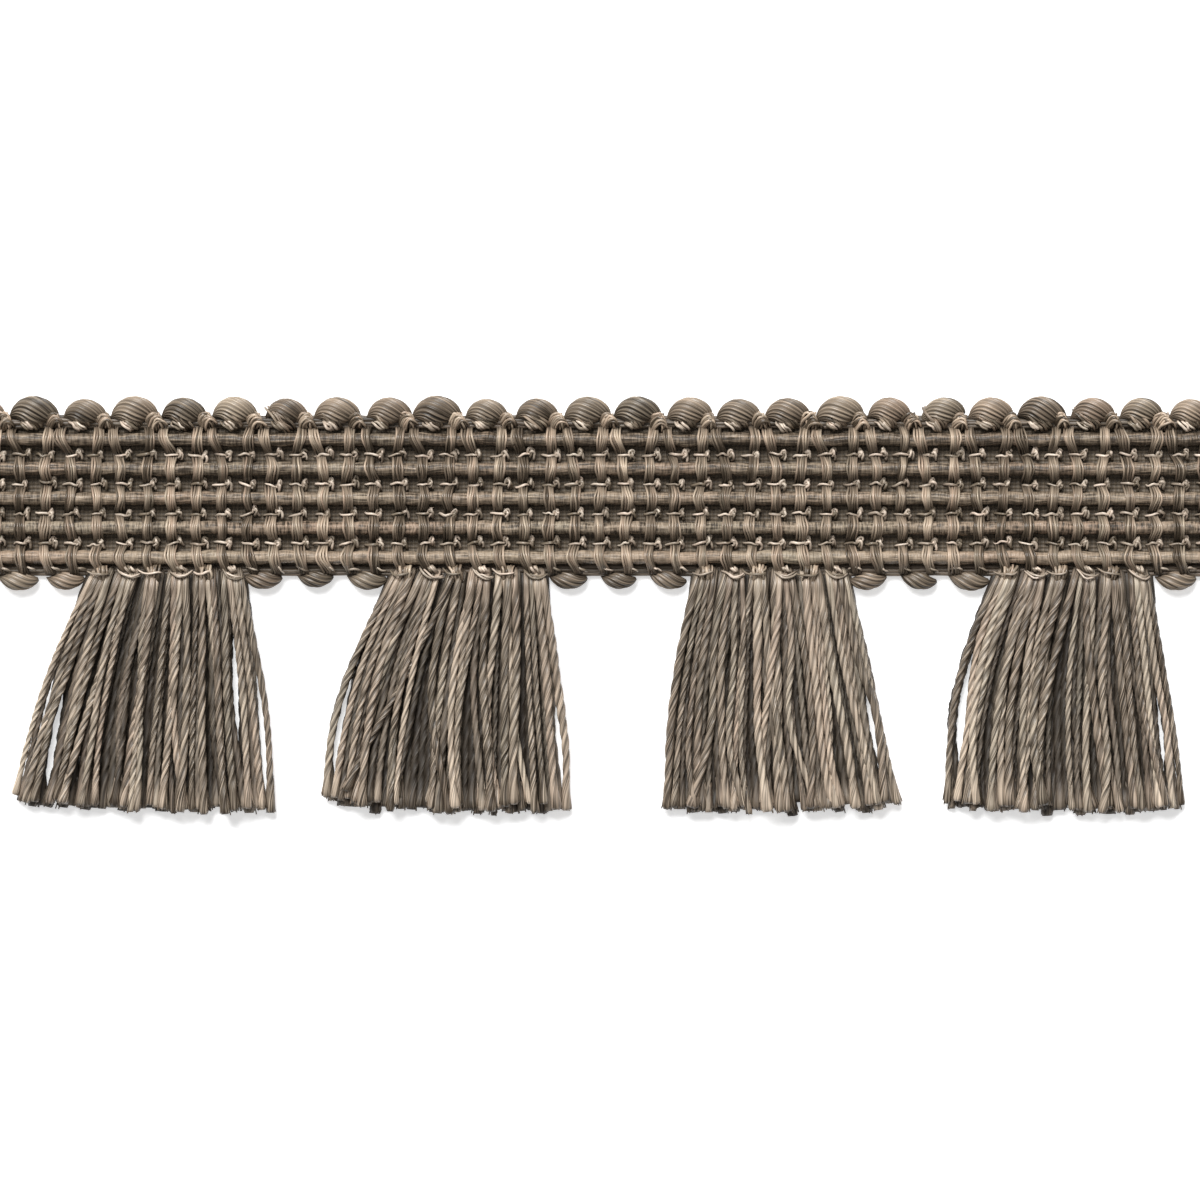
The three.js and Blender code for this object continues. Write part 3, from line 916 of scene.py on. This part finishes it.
def skirt_paths(number):
    """Control points (strands, stations, 3), each strand's row and its thickness. share is a strand's
    place from left (0) to right (1). x runs from its root to its hem, bows out by 4 t (1 - t), and
    sways in a long wave and curls in a shorter one; y falls by what is left of the strand's
    length. The outermost strands have none under them and sink to the table."""
    flare = FLARES[number]
    share = np.concatenate([(np.arange(row["strands"]) + 0.5) / row["strands"] for row in ROWS])
    row_of = np.repeat(np.arange(len(ROWS)), [row["strands"] for row in ROWS])

    def by_row(key):
        return np.array([row[key] for row in ROWS])[row_of]

    count = len(share)
    pick_middle = (np.floor(share * PICKS) + 0.5) / PICKS
    root_share = pick_middle + (share - pick_middle) * by_row("gathered")
    root_x = ROOT_HALF * (2 * root_share - 1)
    inner = 1 - (2 * share - 1) ** 2
    hem_share = share + random.normal(0, 1, count) * by_row("stray") * inner**1.6
    hem_share = 0.5 + (hem_share - 0.5) * by_row("reach")
    hem_share = np.clip(hem_share, 0.01, 0.99)
    hem_x = flare["hem_left"] + (flare["hem_right"] - flare["hem_left"]) * hem_share
    bow = flare["bow_left"] + (flare["bow_right"] - flare["bow_left"]) * share
    length = STRAND_LENGTH + random.normal(0, 0.3, count)
    fall = np.sqrt(length**2 - (hem_x - root_x) ** 2)
    t = np.linspace(0, 1, STATIONS)[None]
    waves = random.uniform(0.5, 1.6, (count, 1))
    phase = random.uniform(0, 1, (count, 1))
    swing = (0.25 + 2.2 * random.uniform(0, 1, count) ** 2.2) * by_row("sway") * (0.12 + 0.88 * inner)
    sway = swing[:, None] * np.sin(2 * np.pi * (t * waves + phase)) * t**0.7
    curl = random.uniform(0.05, 0.32, (count, 1))
    curl = curl * np.sin(2 * np.pi * (t * random.uniform(1.7, 3.0, (count, 1)) + phase))
    x = root_x[:, None] + (hem_x - root_x)[:, None] * t + 4 * bow[:, None] * t * (1 - t)
    x = x + sway + curl * t**0.5
    root_z = by_row("root_z") + random.normal(0, 0.08, count)
    on_table = YARN_R * by_row("thick")
    carried_by_others = np.clip(3 * inner, 0, 1)
    hem_z = on_table + (by_row("hem_z") * random.normal(1, 0.12, count) - on_table) * carried_by_others
    hump = 0.25 * np.sin(2 * np.pi * (t * random.uniform(0.5, 1.5, (count, 1)) + phase))
    z = root_z[:, None] + (hem_z - root_z)[:, None] * t + hump * t * by_row("root_z")[:, None] / 2.5
    thick = by_row("thick") * np.where(by_row("sway") > 0, random.uniform(0.78, 1.22, count), 1)
    x, z = settled(x, np.maximum(z, YARN_R), thick, by_row("sway") == 0)
    z[:, 0] = 0.5 * z[:, 0]
    y = ROOT_Y - fall[:, None] * t
    x = closed(x, thick, t[0])
    x = parted(x + SKIRT_1_X + number * REPEAT, y, thick, flare["slits"])
    return np.stack([x, y, z], -1), row_of, thick


# %% [markdown]
# The yarn itself is three plies laid round each other. One rotating profile with three round lobes
# draws them, turning once in about 6 mm. Near the root the yarn is not yet twisted, and at
# the cut end it opens again into a loose brush of fibres.

# %% Bell skirts
LAY = 5.8
PLIES = 3
PLY_RELIEF = 0.34
UNTWISTED = 3.5  # the twist comes in over this length below the root
BRUSH_HAIRS = 8
HAIR_R = 0.14
FACE_ROW = {"rings": 66, "around": 20}
BACK_ROWS = {"rings": 50, "around": 10}


def strand_surface(control, thick, rings, around):
    """Profile = 1 - relief * (1 - |cos(plies * angle / 2)|), faded to round at the root and the brush;
    the turn grows by the length over the lay. Returns the points, the path, the length that is
    left to the cut end, how far the brush is open, and how deep the grooves are."""
    count = len(control)
    path = np.einsum("rs,nsk->nrk", through(STATIONS, rings), control)
    along = lengths(path)
    left = along[:, -1:] - along
    start = random.uniform(0.6, 3.5, (count, 1))
    opens = BRUSH * random.uniform(0.6, 1.1, (count, 1))
    twisted = np.clip((along - start) / UNTWISTED, 0, 1) * np.clip((left - opens + 1.5) / 1.5, 0, 1)
    rate = np.clip((along - start) / UNTWISTED, 0.15, 1) * np.clip(left / opens, 0.15, 1)
    lay = LAY * thick[:, None] * random.uniform(0.9, 1.2, (count, 1))
    turn = 2 * np.pi * np.cumsum(np.diff(along, axis=1, prepend=0) * rate / lay, axis=1)
    turn = turn + random.uniform(0, 2 * np.pi, (count, 1))
    turn = turn + (through(8, rings) @ random.normal(0, 0.3, (8, count))).T
    opening = np.clip(1 - left / opens, 0, 1)
    uneven = 1 + (through(12, rings) @ random.normal(0, 0.07, (12, count))).T
    radius = YARN_R * thick[:, None] * uneven * (1 + random.uniform(0.25, 0.6, (count, 1)) * opening**1.2)
    radius[:, -1] *= 0.7
    angle = 2 * np.pi * np.arange(around) / around
    groove = (1 - np.abs(np.cos(PLIES * angle / 2))) * twisted[..., None]
    profile = 0.92 + 0.12 * twisted[..., None] - PLY_RELIEF * groove
    return carried(path, radius, profile, turn, (0, 0, 1)), path, left, opening, groove


def brush_hairs(path, thick, tone, depth):
    """Hairs fan out of the last millimetres of each strand: a straight run from inside the strand to
    a ring a little wider than the open brush, a little shorter or longer than the strand."""
    strand = np.repeat(np.arange(len(path)), BRUSH_HAIRS)
    count = len(strand)
    t = np.linspace(0, 1, 4)[None, :, None]
    base = path[strand, int(path.shape[1] * (1 - BRUSH / STRAND_LENGTH))][:, None]
    tip = path[strand, -1][:, None]
    around = random.uniform(0, 2 * np.pi, (count, 1, 1))
    out = np.concatenate([np.cos(around), np.zeros_like(around), np.sin(around) * 0.6], axis=2)
    beyond = unit(tip - base) * random.uniform(-0.6, 0.2, (count, 1, 1))
    flare = YARN_R * thick[strand][:, None, None] * (0.6 + 0.75 * t**1.5)
    flare = flare * random.uniform(0.7, 1.25, (count, 1, 1))
    hair = base + (tip - base + beyond) * t + out * flare
    radius = np.broadcast_to(HAIR_R * (1 - 0.3 * t[..., 0]), hair.shape[:2])
    points = carried(hair, radius, ROUND[3], np.zeros(hair.shape[:2]), (0, 0, 1))
    hair_tone = np.clip(tone[strand] + random.normal(0.1, 0.2, count), 0, 1)
    return points, lengths(hair), hair_tone, depth[strand][:, None, None], 1


def bell_skirt(number):
    """Face strands in full detail, back ones plainer, and hairs at every end."""
    control, row_of, thick = skirt_paths(number)
    row_painted_light = np.array([row["depth"] for row in ROWS])[row_of]
    blocks = []
    for is_face, detail in ((True, FACE_ROW), (False, BACK_ROWS)):
        chosen = (row_of == 0) == is_face
        points, path, left, opening, groove = strand_surface(control[chosen], thick[chosen], **detail)
        tone = random.uniform(0.15, 0.95, len(path))
        # Painted shade: the back rows, the strands towards their roots and the ply grooves are darkened; the
        # opening brush ends and their hairs less so.
        depth = row_painted_light[chosen][:, None] * np.clip(1.35 - left / left[:, :1], 0, 1) ** 0.3 + 0.3 * opening
        depth = np.clip(depth[..., None] * (1 - 0.8 * groove), 0, 1)
        blocks.append((points, left, tone, depth, 0))
        blocks.append(brush_hairs(path, thick[chosen], tone, np.clip(row_painted_light[chosen] + 0.3, 0, 1)))
    piece = yarn_piece(f"skirt_yarn_{number + 1}", blocks, [skirt_satin, tip_satin])
    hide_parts(f"bell_skirt_{number + 1}")


for number in range(SKIRTS):
    bell_skirt(number)

# %% [markdown]
# Where a skirt starts, every other pick wears a small crown: its satin strands rise over the edge
# thread in a fan. Between the crowns the edge thread hangs in a shallow loop.

# %% Crowns and hanging threads
CROWN = [
    (0.2, [(step * 0.36, 0.95, -1.3), (step * 0.34, 0.65, -0.2), (step * 0.29, 0.1, 0.2),
           (step * 0.27, -0.5, 0.1), (step * 0.28, -1.3, -0.5)])
    for step in (-2, -1, 0, 1, 2)
]
EDGE_THREAD = [
    (0.16, [(-1.9, 0.1, -0.7), (-1.2, -0.25, 0.1), (-0.4, -0.3, 0.45), (0.4, -0.2, 0.45), (0.9, 0.0, 0.0)]),
]
SMILE = [
    (0.15, [(-1.4, 0.55, -0.7), (-0.9, 0.05, 0.1), (-0.2, -0.4, 0.4), (0.6, -0.45, 0.35), (1.4, -0.1, -0.3)]),
    (0.14, [(-1.1, 0.45, -0.7), (-0.6, 0.0, 0.2), (0.0, -0.22, 0.45), (0.7, -0.25, 0.4), (1.3, 0.05, -0.5)]),
]
ROOT_KNOT_ROUTE = [(-0.3, 0.5, -0.5), (-0.2, 0.2, 0.15), (0.05, -0.1, 0.25), (0.2, -0.4, -0.3)]
ROOT_KNOT = nested(0.2, ROOT_KNOT_ROUTE, (0.3, -0.02, 0.0), 3)
root_picks = SKIRT_1_X + ROOT_HALF * (2 * (np.arange(PICKS) + 0.5) / PICKS - 1)
crown_places = [(x + n * REPEAT, edge_low - 0.55, 2.75) for n in range(SKIRTS) for x in root_picks[::2]]
smile_places = [(x + n * REPEAT + 0.1, edge_low - 0.8, 2.6) for n in range(SKIRTS) for x in root_picks[1::2]]
knot_places = [(x - 0.15, y + 0.6, z - 0.3) for x, y, z in smile_places]
stitches("crowns", CROWN, crown_places, weft_satin)
stitches("crown_threads", EDGE_THREAD, crown_places)
stitches("hanging_threads", SMILE, smile_places)
stitches("root_knots", ROOT_KNOT, knot_places)

# %% Sizes
low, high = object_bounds()
